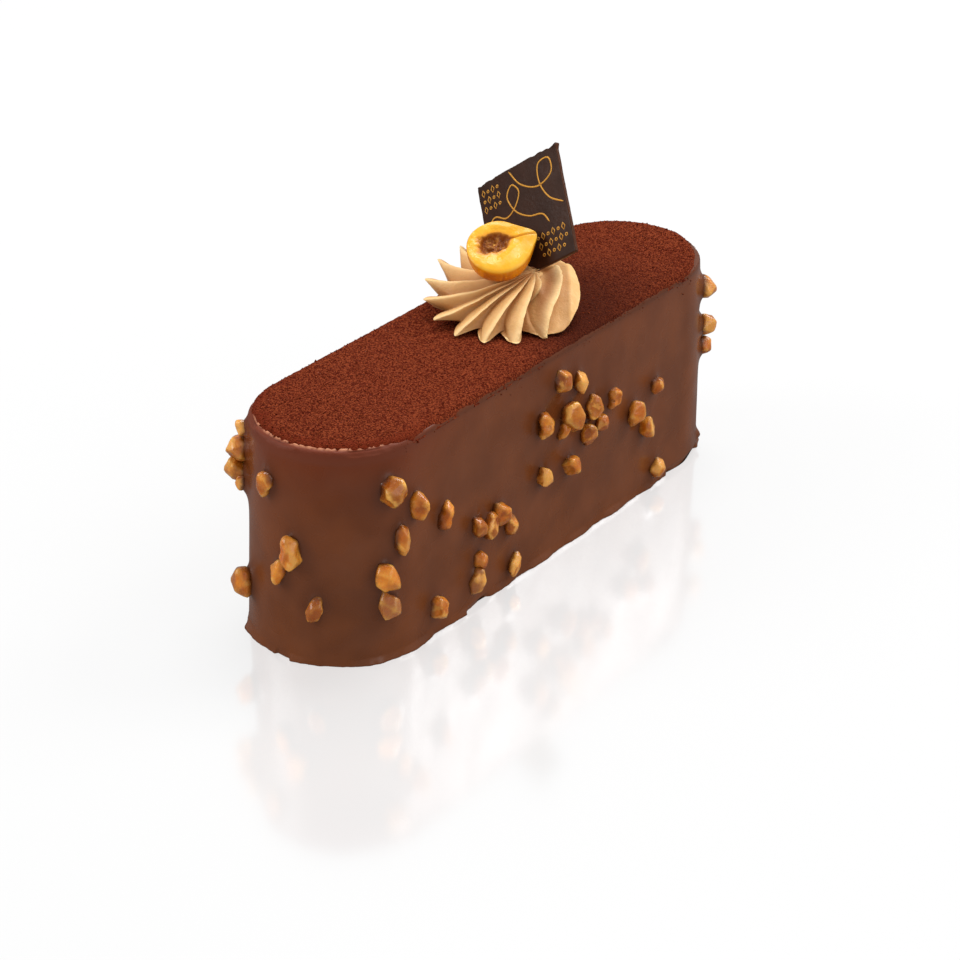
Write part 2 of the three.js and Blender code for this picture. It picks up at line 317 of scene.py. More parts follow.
# Chopped nuts as (station, height, length, width): the station runs along the wall from the middle of
# the near end, over the front side, to the middle of the far end
edgeNuts = [
    (-17, 40.5, 3.6, 3.2),
    (-17, 36.5, 4.8, 6),
    (-17.5, 32, 5.4, 6.2),
    (-16, 30, 4.4, 3),
    (-10, 12, 6.2, 4.8),
    (134, 37, 5.2, 4.4),
    (135, 27.5, 5, 5),
    (135, 22.5, 4.4, 4),
]
sideNuts = [
    (-3.5, 36, 5.6, 3),
    (3, 23.5, 7.6, 4.6),
    (0, 18.5, 5.6, 2.8),
    (7.5, 12.5, 6, 2.8),
    (21.5, 36, 6.4, 5.4),
    (28, 30.5, 6, 4),
    (37, 24.5, 6.2, 3.2),
    (24, 25, 7, 2.8),
    (20.5, 18.5, 6, 4.4),
    (21, 12.5, 6.2, 4.4),
    (34, 6.5, 4.8, 4),
    (47, 18, 4.8, 3),
    (54.5, 17.5, 5.6, 4),
    (51, 16.5, 5, 3.6),
    (58, 13.5, 5.2, 3),
    (47.5, 10, 3.8, 3),
    (46.5, 6.5, 5.2, 3.4),
    (59, 4.5, 5.2, 2.8),
    (75, 38, 5.2, 3.8),
    (81.5, 35.5, 5, 3),
    (93, 27.5, 4.2, 3.4),
    (86, 28.5, 6, 4),
    (78, 29.5, 7.2, 5.4),
    (69, 31, 6, 4.4),
    (76, 27, 4, 3),
    (84, 23, 5.2, 3.6),
    (89, 23.5, 4, 2.8),
    (101, 21, 5.4, 4),
    (105.5, 16, 5.4, 3.8),
    (109.5, 24, 4, 3),
    (69, 19.5, 4.6, 3.6),
    (78, 18.5, 5.2, 4),
    (110.5, 4, 4.4, 3.4),
]
coatedNuts = [(-10, 12), (21, 12.5), (46.5, 6.5)]  # under a film of glaze
nuts = dict(
    farSideStart=267,
    farSideHeight=43,
    corners=14,
    cornerTurn=2.4,
    cornerReach=0.82,
    cornerSpread=0.3,
    sunkShare=0.2,
    edgeSunk=0.15,
    seed=41,
    cuts=6,
    smoothing=1,
    lumps=0.12,
    lumpSize=1.3,
    swell=0.45,
    edgeSwell=0.28,
    bites=6,
    edgeBites=3,
    biteBall=(0.6, 1.6),
    biteDepth=(0.06, 0.24),
    edgeBlur=6,
    facets=10,
    browned=0.45,
    caramel=0.5,
    flesh=0.5,
    film=0.85,
    # Painted highlight on the edges of the nuts
    edgeHighlight=0.55,
    # Painted shade on the undersides of the nuts
    under=0.7,
)


def nutPlaces():
    # The side away from the photo has the front's nuts, turned end for end and upside down
    start, top = nuts["farSideStart"], nuts["farSideHeight"]
    farSide = [(start - along, top - high, length, width) for along, high, length, width in sideNuts]
    return edgeNuts + sideNuts + farSide


# Glaze over the whole body; places along the wall are stations, as for the nuts
glaze = dict(
    cols=720,
    crowding=0.5,
    footTop=3.0,
    footRow=0.25,
    wallRows=100,
    rimRows=14,
    ripple=0.16,
    rippleSizes=(9.0, 3.6),
    rimRough=0.04,
    nearRimRough=0.22,
    rimRoughSize=2.6,
    footReach=1.5,
    footWave=0.3,
    footRough=0.16,
    notch=0.8,
    flare=(0.6, -12.5, 2.0),
    chip=1.1,
    chipAt=123.0,
    chipHalf=7.0,
    crumbAlong=(1.0, 132.0, 1.2),
    crumbUp=(1.0, 2.6, 1.1),
    lip=0.36,
    lipMiddle=4.0,
    lipInsets=(0.1, 0.2, 0.3, 0.42, 0.55, 0.7, 0.85, 1.0, 1.2, 1.5, 4.0),
    bead=(1.0, 0.5, 0.4),
    beadSize=0.8,
    tintReach=8.0,
    meniscusRise=0.7,
    meniscusReach=0.8,
    clingRise=1.6,
    clingReach=1.3,
    # Painted shade round the nuts and painted shadow under the cocoa's edge
    nutShade=0.6,
    nutShadeReach=1.1,
    rimShade=0.5,
    rimShadeReach=0.6,
)


def glazeLook():
    look = Look("milkGlaze", Specular_IOR_Level=0.35)
    base = look.tones((101, 52, 22), (115, 61, 28), Scale=0.1, Low=0.3, High=0.7)
    # Painted highlight on the tops of the lip's beads, and painted shade round the nuts and under the
    # cocoa's edge along the sides
    color = look.layered(base, rimTint=(108, 38, 0), beads=(212, 142, 104), nutShade=(70, 32, 11))
    rough = look.rough(Smooth=0.22, Rough=0.36, Scale=0.15, Low=0.3, High=0.7)
    rough = look.mix(look.attribute("dull"), rough, (0.62, 0.62, 0.62, 1.0))  # crusted near rim
    peel = look.grain(0.03, Scale=0.5, Low=0.0, High=1.0, Detail=1.0)
    return look.feed(Base_Color=color, Roughness=rough, Normal=peel)


def wallStations():
    # Closer together round the near end, for its uneven lip
    even = np.linspace(-1, 1, glaze["cols"], endpoint=False)
    return halfWayRound * (even - glaze["crowding"] * np.sin(math.pi * even) / math.pi)


def wallHeights():
    # Closer together at the foot and over the round rim
    rimFoot = cake["height"] - cake["rimDrop"]
    foot = np.arange(0, glaze["footTop"], glaze["footRow"])
    wall = np.linspace(glaze["footTop"], rimFoot - 0.3, glaze["wallRows"])
    turn = np.linspace(0, math.pi / 2, glaze["rimRows"])
    return np.concatenate([foot, wall, cake["height"] - cake["rimDrop"] * np.cos(turn)])


def footRelief(along, high, place):
    # Ragged foot with notches, a flared corner on the left, and a chip and a crumb on the far right
    flat = place * (1, 1, 0.3)
    foot = glaze["footWave"] * softNoise(flat, 5, 9) + glaze["footRough"] * roughNoise(flat, 1.8, 11)
    foot = foot - glaze["notch"] * smoothStep(softNoise(place, 5, 21), 0.66, 0.8)
    foot = foot + hump(along, *glaze["flare"])
    fromChip = np.abs(along - glaze["chipAt"]) - glaze["chipHalf"]
    foot = foot - glaze["chip"] * smoothStep(fromChip, 0.4, -0.4)
    crumb = hump(along, *glaze["crumbAlong"]) * hump(high, *glaze["crumbUp"])
    return foot * np.clip(1 - high / glaze["footReach"], 0, 1) + crumb


def nutMeniscus(along, high):
    # Glaze drawn up round each nut, and painted shade where they meet
    lift, shade = np.zeros_like(high), np.zeros_like(high)
    for spec in nutPlaces():
        station, height, length, width = spec
        away = (along - station + halfWayRound) % (2 * halfWayRound) - halfWayRound
        far = np.hypot(away / (width / 2), (high - height) / (length / 2))
        gap = np.clip((far - 0.85) * (width + length) / 4, 0, None)
        clings = spec in edgeNuts or spec[:2] in coatedNuts
        rise = glaze["meniscusRise"] * (glaze["clingRise"] if clings else 1)
        reach = glaze["meniscusReach"] * (glaze["clingReach"] if clings else 1)
        lift = np.maximum(lift, rise * np.exp(-gap / reach))
        shade = np.maximum(shade, glaze["nutShade"] * np.exp(-gap / glaze["nutShadeReach"]))
    return lift, shade


def lipRings(station):
    # Broken lip where the glaze meets the cocoa at the near end, with a painted highlight on the tops of its
    # beads
    atLip = smoothStep(np.abs(station - glaze["lipMiddle"]), 24, 12)
    rings, beads = [], []
    for inset in glaze["lipInsets"]:
        ring, _ = wallAt(station, cake["height"], inset)
        bead = softNoise(ring, glaze["beadSize"], 25) + softNoise(ring, glaze["beadSize"] / 2, 27)
        bead = smoothStep(bead, -0.9, 0.8) * atLip * hump(inset, *glaze["bead"])
        ring[:, 2] += glaze["lip"] * bead
        rings.append(ring)
        beads.append(0.9 * bead)
    return rings, beads


def glazedBody():
    station = wallStations()
    along, high = np.meshgrid(station, wallHeights())
    place, out = wallAt(along, high)
    top, rimFoot = cake["height"], cake["height"] - cake["rimDrop"]
    tall = place * (1, 1, 0.45)
    wide, fine = glaze["rippleSizes"]
    ripple = glaze["ripple"] * (softNoise(tall, wide, 3) + 0.4 * softNoise(tall, fine, 5))
    nearEnd = smoothStep(-planAt(along)[0][..., 0], 20, 60)
    rim = roughNoise(place, glaze["rimRoughSize"], 23, 2) * smoothStep(high, rimFoot, top - 0.6)
    rim = rim * (glaze["rimRough"] + glaze["nearRimRough"] * nearEnd)
    lift, shade = nutMeniscus(along, high)
    grow = ripple * smoothStep(high, top, top - 3) + footRelief(along, high, place) + rim + lift
    # Painted shadow under the cocoa's edge along the sides
    underCocoa = np.exp(-np.clip(rimFoot - high, 0, None) / glaze["rimShadeReach"]) * (1 - nearEnd)
    shade = np.maximum(shade, glaze["rimShade"] * underCocoa)
    place = place + out * grow[..., None]
    place[..., 2] += 0.7 * rim
    under, _ = wallAt(station, 0.0, 0.8)
    rings, beads = lipRings(station)
    rows = np.concatenate([under[None], place, rings])
    tint = np.exp(-(top - high) / glaze["tintReach"]) * (0.25 + 0.75 * nearEnd)
    tint, shade = (np.concatenate([m[:1], m] + [m[-1:]] * len(rings)) for m in (tint, shade))
    # Painted highlight on the lip's beads
    beads = np.concatenate([np.zeros((len(rows) - len(rings), glaze["cols"])), beads])
    dull = smoothStep(rows[..., 2], top - 3.2, top - 1.6) * nearEnd[0]
    faces = gridFaces(len(rows), glaze["cols"], closeFirst=True, closeLast=True)
    masks = dict(rimTint=tint, nutShade=shade, beads=beads, dull=dull)
    piece = newPiece("glazedBody", rows.reshape(-1, 3), faces, glazeLook(), **masks)
    asPart(piece, "glaze", "cake_body")


def drawFrom(seed):
    state = seed

    def draw():
        nonlocal state
        state = state * 16807 % 2147483647
        return state / 2147483647

    return draw


def relax(bm, times):
    for _ in range(times):
        bmesh.ops.smooth_vert(
            bm, verts=bm.verts, factor=0.5, use_axis_x=True, use_axis_y=True, use_axis_z=True
        )


def choppedNut(spec, draw):
    station, height, length, width = spec
    corners = []
    for i in range(nuts["corners"]):
        rise = 1 - 2 * (i + 0.5) / nuts["corners"]
        turn = nuts["cornerTurn"] * i + draw()
        flat = math.sqrt(1 - rise * rise)
        half = (nuts["cornerReach"] + nuts["cornerSpread"] * draw()) / 2
        corners.append(
            Vector((flat * math.cos(turn) * width, flat * math.sin(turn) * width, rise * length)) * half
        )
    place, out = wallAt(station, height)
    lean = Quaternion(Vector(out), draw() - 0.5)
    spin = Quaternion((0, 0, 1), draw() * math.pi)
    onEdge = spec in edgeNuts and spec[:2] not in coatedNuts
    sunk = nuts["edgeSunk"] if onEdge else nuts["sunkShare"]
    centre = Vector(place + out * width * (0.5 - sunk))
    bm = bmesh.new()
    for corner in corners:
        bm.verts.new(lean @ (spin @ corner) + centre)
    hull = bmesh.ops.convex_hull(bm, input=bm.verts)
    loose = {v for v in hull["geom_interior"] + hull["geom_unused"] if isinstance(v, bmesh.types.BMVert)}
    bmesh.ops.delete(bm, geom=list(loose), context="VERTS")
    bmesh.ops.subdivide_edges(bm, edges=bm.edges, cuts=nuts["cuts"], use_grid_fill=True)
    bmesh.ops.triangulate(bm, faces=bm.faces)
    bites = nuts["edgeBites" if onEdge else "bites"]
    before = bittenInto(np.array([v.co for v in bm.verts]), width, bites, int(1e6 * corners[0].length))
    for vert, point in zip(bm.verts, before):
        vert.co = point
    relax(bm, nuts["smoothing"])
    bm.normal_update()
    bm.verts.index_update()
    after = np.array([v.co for v in bm.verts])
    normals = np.array([v.normal for v in bm.verts])
    faces = np.array([[v.index for v in f.verts] for f in bm.faces])
    relax(bm, nuts["edgeBlur"])
    edge = ((after - np.array([v.co for v in bm.verts])) * normals).sum(axis=1)
    bm.free()
    lump = nuts["lumps"] * roughNoise(after, nuts["lumpSize"], 31)
    lump = lump + nuts["edgeSwell" if onEdge else "swell"]
    verts = after + normals * lump[:, None]
    depth = (verts - place) @ out
    return verts, faces, edge, depth, normals


def bittenInto(verts, width, bites, seed):
    # Hollow break faces, each the mark of a ball pressed in from outside
    rng = np.random.default_rng(seed)
    middle = verts.mean(axis=0)
    for _ in range(bites):
        aim = rng.normal(size=3)
        aim /= np.linalg.norm(aim)
        ball = width * rng.uniform(*nuts["biteBall"])
        edgeAt = ((verts - middle) @ aim).max()
        centre = middle + aim * (edgeAt + ball - width * rng.uniform(*nuts["biteDepth"]))
        apart = verts - centre
        far = np.linalg.norm(apart, axis=1)
        inside = far < ball
        verts[inside] = centre + apart[inside] / far[inside, None] * ball
    return verts


def facetTone(normals, seed):
    # Each break face has its own tone, from -1 for caramel to 1 for bare nut
    rng = np.random.default_rng(seed)
    aims = rng.normal(size=(nuts["facets"], 3))
    aims /= np.linalg.norm(aims, axis=1)[:, None]
    return rng.uniform(-1, 1, nuts["facets"])[np.argmax(normals @ aims.T, axis=1)]


def nutLook():
    look = Look(
        "caramelNut", Specular_IOR_Level=0.3, Coat_Weight=0.5, Coat_Roughness=0.07,
        Subsurface_Weight=0.15, Subsurface_Scale=1.0 * mm, Subsurface_Radius=(1.0, 0.45, 0.1),
    )
    base = look.tones((238, 152, 50), (206, 108, 14), Scale=0.32, Low=0.35, High=0.65)
    # Painted highlight on the nuts' edges, and painted shade on their undersides
    color = look.layered(
        base, tone=(146, 70, 8), flesh=(248, 190, 98), under=(132, 58, 2), film=(160, 92, 48),
        edge=(246, 190, 88), glazed=(94, 46, 18),
    )
    rough = look.rough(Smooth=0.16, Rough=0.36, Scale=0.6, Low=0.35, High=0.65)
    chipped = look.grain(0.14, Scale=1.6, Low=0.0, High=1.0, Detail=3.0)
    return look.feed(Base_Color=color, Roughness=rough, Normal=chipped)


def choppedNuts():
    draw = drawFrom(nuts["seed"])
    toneDraw = drawFrom(nuts["seed"] + 1)
    verts, faces, count = [], [], 0
    masks = {name: [] for name in ("edge", "tone", "flesh", "film", "glazed", "under")}
    for spec in nutPlaces():
        points, tris, edge, depth, normals = choppedNut(spec, draw)
        facet = facetTone(normals, nuts["seed"] + count)
        tone = nuts["browned"] * toneDraw() ** 2 + nuts["caramel"] * smoothStep(-facet, 0.1, 0.7)
        film = nuts["film"] if spec[:2] in coatedNuts else 0.0
        verts.append(points)
        faces.append(tris + count)
        count += len(points)
        # Painted highlight on the sharp edges
        masks["edge"].append(nuts["edgeHighlight"] * smoothStep(edge, 0.03, 0.3))
        masks["tone"].append(tone)
        masks["flesh"].append(nuts["flesh"] * smoothStep(facet, 0.2, 0.7))
        patchy = roughNoise(points, 2.5, 77)
        masks["film"].append(film * smoothStep(patchy, -0.7, 0.0))
        masks["glazed"].append(smoothStep(depth + 0.6 * patchy, 1.7, 0.4))
        # Painted shade on the undersides
        masks["under"].append(nuts["under"] * smoothStep(0.4 * patchy - normals[:, 2], -0.3, 0.8))
    faces = np.concatenate(faces).tolist()
    masks = {name: np.concatenate(values) for name, values in masks.items()}
    piece = newPiece("choppedNuts", np.concatenate(verts), faces, nutLook(), **masks)
    asPart(piece, "glaze", "cake_body")


# Cocoa: a thin dusted layer on the flat top
cocoa = dict(
    thickness=0.8,
    margin=-0.6,
    nearMargin=1.0,
    nearFade=(26, 14),
    farMargin=1.1,
    farStart=(122, 131),
    farStop=(147, 138),
    edgeRound=0.5,
    tuck=0.1,
    ragged=0.1,
    nearRagged=0.2,
    cols=1000,
    edgeShares=(0, 0.012, 0.03),
    rings=56,
    weld=0.02,
    swell=0.08,
    grain=0.1,
    damp=0.8,
    # Painted shadow in front of the rosette and beyond it
    shade=(0.8, 0.0, 17.0),
    shadeSide=(0.85, -0.52),
    grains=5000,
    edgeGrains=500,
    edgeGrainsFrom=-6,
    edgeGrainsTo=20,
    grainSize=0.08,
    grainSpread=0.025,
    grainJitter=(0.65, 1.25),
    fall=0.7,
    fallenSize=0.7,
    seed=7,
)
topHeight = cake["height"] + cocoa["thickness"]


def cocoaRelief(points):
    flat = points * (1, 1, 0)
    return cocoa["swell"] * softNoise(flat, 6, 51) + cocoa["grain"] * roughNoise(flat, 0.5, 53, 2)


def cocoaLook():
    look = Look("cocoaDust", Roughness=0.95, Specular_IOR_Level=0.08)
    base = look.tones((84, 20, 3), (142, 64, 34), Scale=3.0, Low=0.4, High=0.62)
    # Painted shadow by the rosette
    color = look.layered(base, shade=(62, 22, 10), damp=(112, 38, 16))
    grain = look.grain(0.4, Scale=2.4, Low=0.2, High=0.8, Detail=3.0)
    return look.feed(Base_Color=color, Normal=grain)


def overRim(inset):
    # How far below the flat top the glaze lies where the cocoa runs out over its round rim
    share = np.clip(-inset / cake["rimInset"], 0, 1)
    return cake["rimDrop"] * (1 - np.sqrt(1 - share**2))


def cocoaMargin(station):
    near = smoothStep(np.abs(station - glaze["lipMiddle"]), *cocoa["nearFade"])
    far = smoothStep(station, *cocoa["farStart"]) * smoothStep(station, *cocoa["farStop"])
    return cocoa["margin"] + cocoa["nearMargin"] * near + cocoa["farMargin"] * far


def cocoaShade(points):
    # Painted shadow: darker in front of the rosette and beyond it
    x, y = points[:, 0] - rosette["x"], points[:, 1] - rosette["y"]
    sideX, sideY = cocoa["shadeSide"]
    far = np.hypot(x, y)
    facing = (sideX * x + sideY * y) / np.maximum(far, 1)
    past = np.clip(far - rosette["radius"], 0, None)
    return smoothStep(facing, -0.5, 0.7) * hump(past, *cocoa["shade"])


def cocoaTop(material):
    station = np.arange(cocoa["cols"]) / cocoa["cols"] * 2 * halfWayRound - halfWayRound
    point, _ = planAt(station)
    margin = cocoaMargin(station)
    edgeAt, _ = wallAt(station, cake["height"], margin)
    nearEnd = smoothStep(-point[:, 0], 0.75 * halfStraight, halfStraight + 8)
    ragged = (cocoa["ragged"] + cocoa["nearRagged"] * nearEnd) * roughNoise(edgeAt, 1.1, 61, 2)
    reach = endRadius + wallOffset(station, np.full_like(station, cake["height"])) - margin
    shares = np.concatenate([cocoa["edgeShares"], np.linspace(0.05, 1, cocoa["rings"])])
    rows, damp = [], []
    for share in shares:
        inset = margin + ragged * (1 - share) ** 8 + share * reach
        ring, _ = wallAt(station, cake["height"], inset)
        depth = share * endRadius
        ring[:, 2] += cocoa["thickness"] * (1 - np.exp(-depth / cocoa["edgeRound"]))
        ring[:, 2] -= cocoa["tuck"] * math.exp(-depth / cocoa["tuck"]) + overRim(inset)
        moist = cocoa["damp"] * nearEnd * smoothStep(depth + 1.2 * softNoise(ring, 3, 63), 3.4, 0.8)
        ring[:, 2] += cocoaRelief(ring) * smoothStep(depth, -0.2, 0.8) * (1 - 0.7 * moist)
        rows.append(ring)
        damp.append(moist)
    faces = gridFaces(len(rows), cocoa["cols"])
    points = np.concatenate(rows)
    masks = dict(damp=np.concatenate(damp), shade=cocoaShade(points))
    piece = newPiece("cocoaTop", points, faces, material, **masks)
    bm = bmesh.new()
    bm.from_mesh(piece.data)
    bmesh.ops.remove_doubles(bm, verts=bm.verts, dist=cocoa["weld"] * mm)
    bm.to_mesh(piece.data)
    bm.free()
    asPart(piece, "cocoa", "cocoa_top")


def cocoaGrains(material):
    rng = np.random.default_rng(cocoa["seed"])
    ball = bmesh.new()
    bmesh.ops.create_icosphere(ball, subdivisions=1, radius=1.0)
    ballVerts = np.array([v.co for v in ball.verts])
    ballFaces = np.array([[v.index for v in f.verts] for f in ball.faces])
    ball.free()
    count = cocoa["grains"]
    station = rng.uniform(-halfWayRound, halfWayRound, count)
    point, _ = planAt(station)
    margin = cocoaMargin(station)
    reach = endRadius + wallOffset(station, np.full(count, cake["height"])) - margin
    onStraight = np.abs(point[:, 0]) < halfStraight - 0.01
    evenly = rng.uniform(0, 1, count)
    thinnedOut = 1 - np.sqrt(rng.uniform(0, 1, count))  # the round ends narrow towards their middle
    share = np.where(onStraight, evenly, thinnedOut)
    inner, _ = wallAt(station, cake["height"], margin + share * reach)
    inner[:, 2] = topHeight - cocoa["thickness"] * np.exp(-share * endRadius / cocoa["edgeRound"])
    inner[:, 2] += cocoaRelief(inner) - overRim(margin + share * reach)
    rimCount = cocoa["edgeGrains"]
    start = quarterArc + cocoa["edgeGrainsFrom"]
    stop = quarterArc + 2 * halfStraight + cocoa["edgeGrainsTo"]
    along = rng.uniform(start, stop, rimCount)
    along *= rng.choice([-1, 1], rimCount)
    fallen = cake["height"] - rng.exponential(cocoa["fall"], rimCount)
    rim, _ = wallAt(along, fallen)
    centres = np.concatenate([inner, rim])
    size = cocoa["grainSize"] + rng.gamma(2.0, cocoa["grainSpread"], len(centres))
    size[count:] *= cocoa["fallenSize"]
    jitter = rng.uniform(*cocoa["grainJitter"], (len(centres), len(ballVerts), 1))
    verts = centres[:, None, :] + ballVerts[None] * jitter * size[:, None, None]
    faces = ballFaces[None] + (np.arange(len(centres)) * len(ballVerts))[:, None, None]
    piece = newPiece("cocoaGrains", verts.reshape(-1, 3), faces.reshape(-1, 3).tolist(), material)
    asPart(piece, "cocoa", "cocoa_top")


# Rosette of praline cream: crests fan out from an apex off the middle, and its far rim is tipped up.
# Angles are in degrees, from +X towards +Y
rosette = dict(
    x=6.4,
    y=1.2,
    radius=15.4,
    rimRise=4.6,
    rimTip=4.4,
    rimTipAngle=36,
    apexShift=(3.4, -5.6),
    ridges=16,
    firstCrest=23.7,
    lowTwist=8.0,
    highTwist=28.0,
    seam=40,
    bentCrest=10,  # counts the first of the two that bend round the top
    swirlEnds=(195, 150),
    swirlStarts=(330, 400),
    bendStarts=(240, 254),
    bendEnds=(398, 335),
    pushed=(2.0, 252, 16),
    bulgeAround=(1.0, 266, 10),
    bulgeUp=(1.0, 3.2, 1.8),
    slim=(0.03, 306, 25),
    valleyAt=0.64,
    wobble=0.14,
    tear=0.05,
    cols=720,
    underSteps=32,
    overSteps=100,
)
# Profiles of a crest and of a valley, under the rim and over it: share of the radius, then height
crestUnder = [(0.64, 0), (0.82, 0.9), (0.94, 2.5), (1.04, 4.6)]
crestOver = [(1.04, 4.6), (0.88, 5.8), (0.66, 7), (0.4, 8.3), (0.15, 9), (0.03, 9.2)]
valleyUnder = [(0.58, 0), (0.68, 0.8), (0.74, 2), (0.75, 3.4)]
valleyOver = [(0.75, 3.4), (0.68, 4.5), (0.52, 5.6), (0.32, 7.2), (0.13, 8.6), (0.03, 9.1)]
# Two crests on the right that bend round the top: angle, then share of the radius
bentCrests = [
    [(246, 1.25), (249, 1.0), (251, 0.85), (256, 0.72), (266, 0.62), (280, 0.51), (307, 0.44), (400, 0.5)],
    [(246, 1.7), (262, 1.3), (277, 1.01), (288, 0.87), (304, 0.8), (325, 0.84), (340, 0.95), (400, 1.0)],
]


def smoothCurve(points, count):
    # Centripetal curve through the points, evenly stepped from point to point
    pts = np.array(points, float)
    pts = np.concatenate([[2 * pts[0] - pts[1]], pts, [2 * pts[-1] - pts[-2]]])
    spans = len(pts) - 3
    made = []
    for at in np.linspace(0, spans, count):
        span = min(int(at), spans - 1)
        p0, p1, p2, p3 = pts[span : span + 4]
        d0, d1, d2 = (np.linalg.norm(b - a) ** 0.5 for a, b in ((p0, p1), (p1, p2), (p2, p3)))
        m1 = ((p1 - p0) / d0 - (p2 - p0) / (d0 + d1) + (p2 - p1) / d1) * d1
        m2 = ((p2 - p1) / d1 - (p3 - p1) / (d1 + d2) + (p3 - p2) / d2) * d1
        part = at - span
        square = (-3 * p1 + 3 * p2 - 2 * m1 - m2) * part**2
        cube = (2 * p1 - 2 * p2 + m1 + m2) * part**3
        made.append(p1 + m1 * part + square + cube)
    return np.array(made)


# Half hazelnut, in its own frame: the cut face is the plane z = 0, and the kernel hangs below it
hazelnut = dict(
    radius=6.4,
    depth=6.4,
    tip=1.9,
    tipAngle=math.radians(25),
    tipWidth=0.34,
    position=(5.4, 1.5, 59.7),
    tilt=math.radians(30),
    faces=math.radians(-53.8),
    hollowMiddle=(-0.75, 1.2),
    hollowAngle=math.radians(23),
    hollowLength=3.5,
    hollowWidth=2.4,
    hollowDepth=1.2,
    edgeRound=0.4,
    faceCut=0.5,
    bulge=0.09,
    crack=0.35,
    split=0.5,
    dish=0.5,
    crown=0.2,
    rough=0.4,
    uneven=0.07,
    gap=0.15,
    cols=260,
    bellyRows=46,
    edgeRows=18,
    faceRows=80,
)
# Dark chocolate square, standing in the cream on a corner
plaque = dict(
    side=23.2,
    thickness=0.8,
    bow=0.3,
    position=(16.3, 2.6, 61.7),
    turn=math.radians(-104.8),
    lean=math.radians(22.2),
    spin=math.radians(39.9),
    steps=70,
    rings=30,
    bevel=0.16,
    bead=0.3,
    chips=0.06,
    topChips=0.16,
    # Painted highlight on the square's edges
    edgeHighlight=0.55,
    gap=0.12,
    slack=0.2,
)
hazelnutFrame = Matrix.Translation(hazelnut["position"]) @ (
    Matrix.Rotation(hazelnut["faces"], 4, "Z") @ Matrix.Rotation(hazelnut["tilt"], 4, "X")
)
plaqueFrame = Matrix.Translation(plaque["position"]) @ (
    Matrix.Rotation(plaque["turn"], 4, "Z")
    @ Matrix.Rotation(-plaque["lean"], 4, "X")
    @ Matrix.Rotation(-plaque["spin"], 4, "Y")
)


def moved(matrix, points):
    matrix = np.array(matrix)
    return points @ matrix[:3, :3].T + matrix[:3, 3]


def nutReach(angle):
    away = wrapAngle(angle - hazelnut["tipAngle"])
    return hazelnut["radius"] + hazelnut["tip"] * np.exp(-(np.abs(away / hazelnut["tipWidth"]) ** 1.5))


def pressedOpen(points):
    # The cream gives way to the nut and to the square
    local = moved(hazelnutFrame.inverted(), points)
    angle = np.arctan2(local[:, 1], local[:, 0])
    reach = nutReach(angle) + hazelnut["gap"]
    flat = np.hypot(local[:, 0], local[:, 1])
    deep = np.hypot(flat / reach, local[:, 2] / (hazelnut["depth"] + hazelnut["gap"]))
    inside = (deep < 1) & (local[:, 2] < 0.5)
    local[inside] /= np.maximum(deep[inside], 0.2)[:, None]
    points = moved(hazelnutFrame, local)
    local = moved(plaqueFrame.inverted(), points)
    half = plaque["side"] / 2
    bowed = local[:, 1] - plaque["bow"] * ((local[:, 0] / half) ** 2 - 0.5)
    room = plaque["thickness"] / 2 + plaque["gap"]
    inside = (np.abs(bowed) < room) & (np.abs(local[:, ::2]).max(axis=1) < half + plaque["slack"])
    shift = np.where(bowed < 0, -room - bowed, room - bowed)
    local[inside, 1] += shift[inside]
    return moved(plaqueFrame, local)


def creamLook():
    look = Look(
        "pralineCream", Specular_IOR_Level=0.3, Subsurface_Weight=0.1, Subsurface_Scale=0.8 * mm,
        Subsurface_Radius=(1.0, 0.6, 0.3),
    )
    base = look.tones((240, 192, 128), (230, 178, 112), Scale=0.25, Low=0.3, High=0.7, Detail=3.0)
    # Painted shade in the valleys and painted highlight along the crests
    color = look.layered(base, valley=(164, 104, 52), crest=(255, 218, 158))
    rough = look.rough(Smooth=0.45, Rough=0.6, Scale=0.5)
    grain = look.grain(0.08, Scale=2.2, Low=0.0, High=1.0, Detail=3.0)
    return look.feed(Base_Color=color, Roughness=rough, Normal=grain)


def ridgeCount(turn, share, rise):
    # Whole numbers lie on the crests; on the right the crests bend and run on round the top
    turn = (np.degrees(turn) - rosette["seam"]) % 360 + rosette["seam"]
    above = np.clip(rise / rosette["rimRise"] - 1, 0, None)
    below = np.clip(1 - rise / rosette["rimRise"], 0, None)
    swirl = smoothStep(turn, *rosette["swirlEnds"]) + smoothStep(turn, *rosette["swirlStarts"])
    twist = rosette["highTwist"] * above * swirl - rosette["lowTwist"] * below
    pushed = hump(turn, *rosette["pushed"])
    fan = (turn - twist - pushed - rosette["firstCrest"]) * rosette["ridges"] / 360
    inner, outer = (np.interp(turn, *smoothCurve(line, 80).T) for line in bentCrests)
    around = rosette["bentCrest"] + np.minimum((share + 0.6 * below - inner) / (outer - inner), 1)
    bend = smoothStep(turn, *rosette["bendStarts"]) * smoothStep(turn, *rosette["bendEnds"])
    return fan + bend * (around - fan), bend


def ridgeProfile(count):
    # Like a breaking wave: from each crest a steep hollow face, then a round back up to the next one
    part = count - np.floor(count)
    onRight = np.abs(count - rosette["bentCrest"]) < 1
    part = np.where(onRight, 1 - part, part)  # the other way round there
    valley = rosette["valleyAt"]
    hollow = (1 - np.minimum(part / valley, 1)) ** 1.7
    back = np.sin(np.clip((part - valley) / (1 - valley), 0, 1) * math.pi / 2)
    return np.where(part < valley, hollow, back)


def profileLine(under, over):
    lower = smoothCurve(under, rosette["underSteps"])[:-1]
    return np.concatenate([lower, smoothCurve(over, rosette["overSteps"])])[:, None]


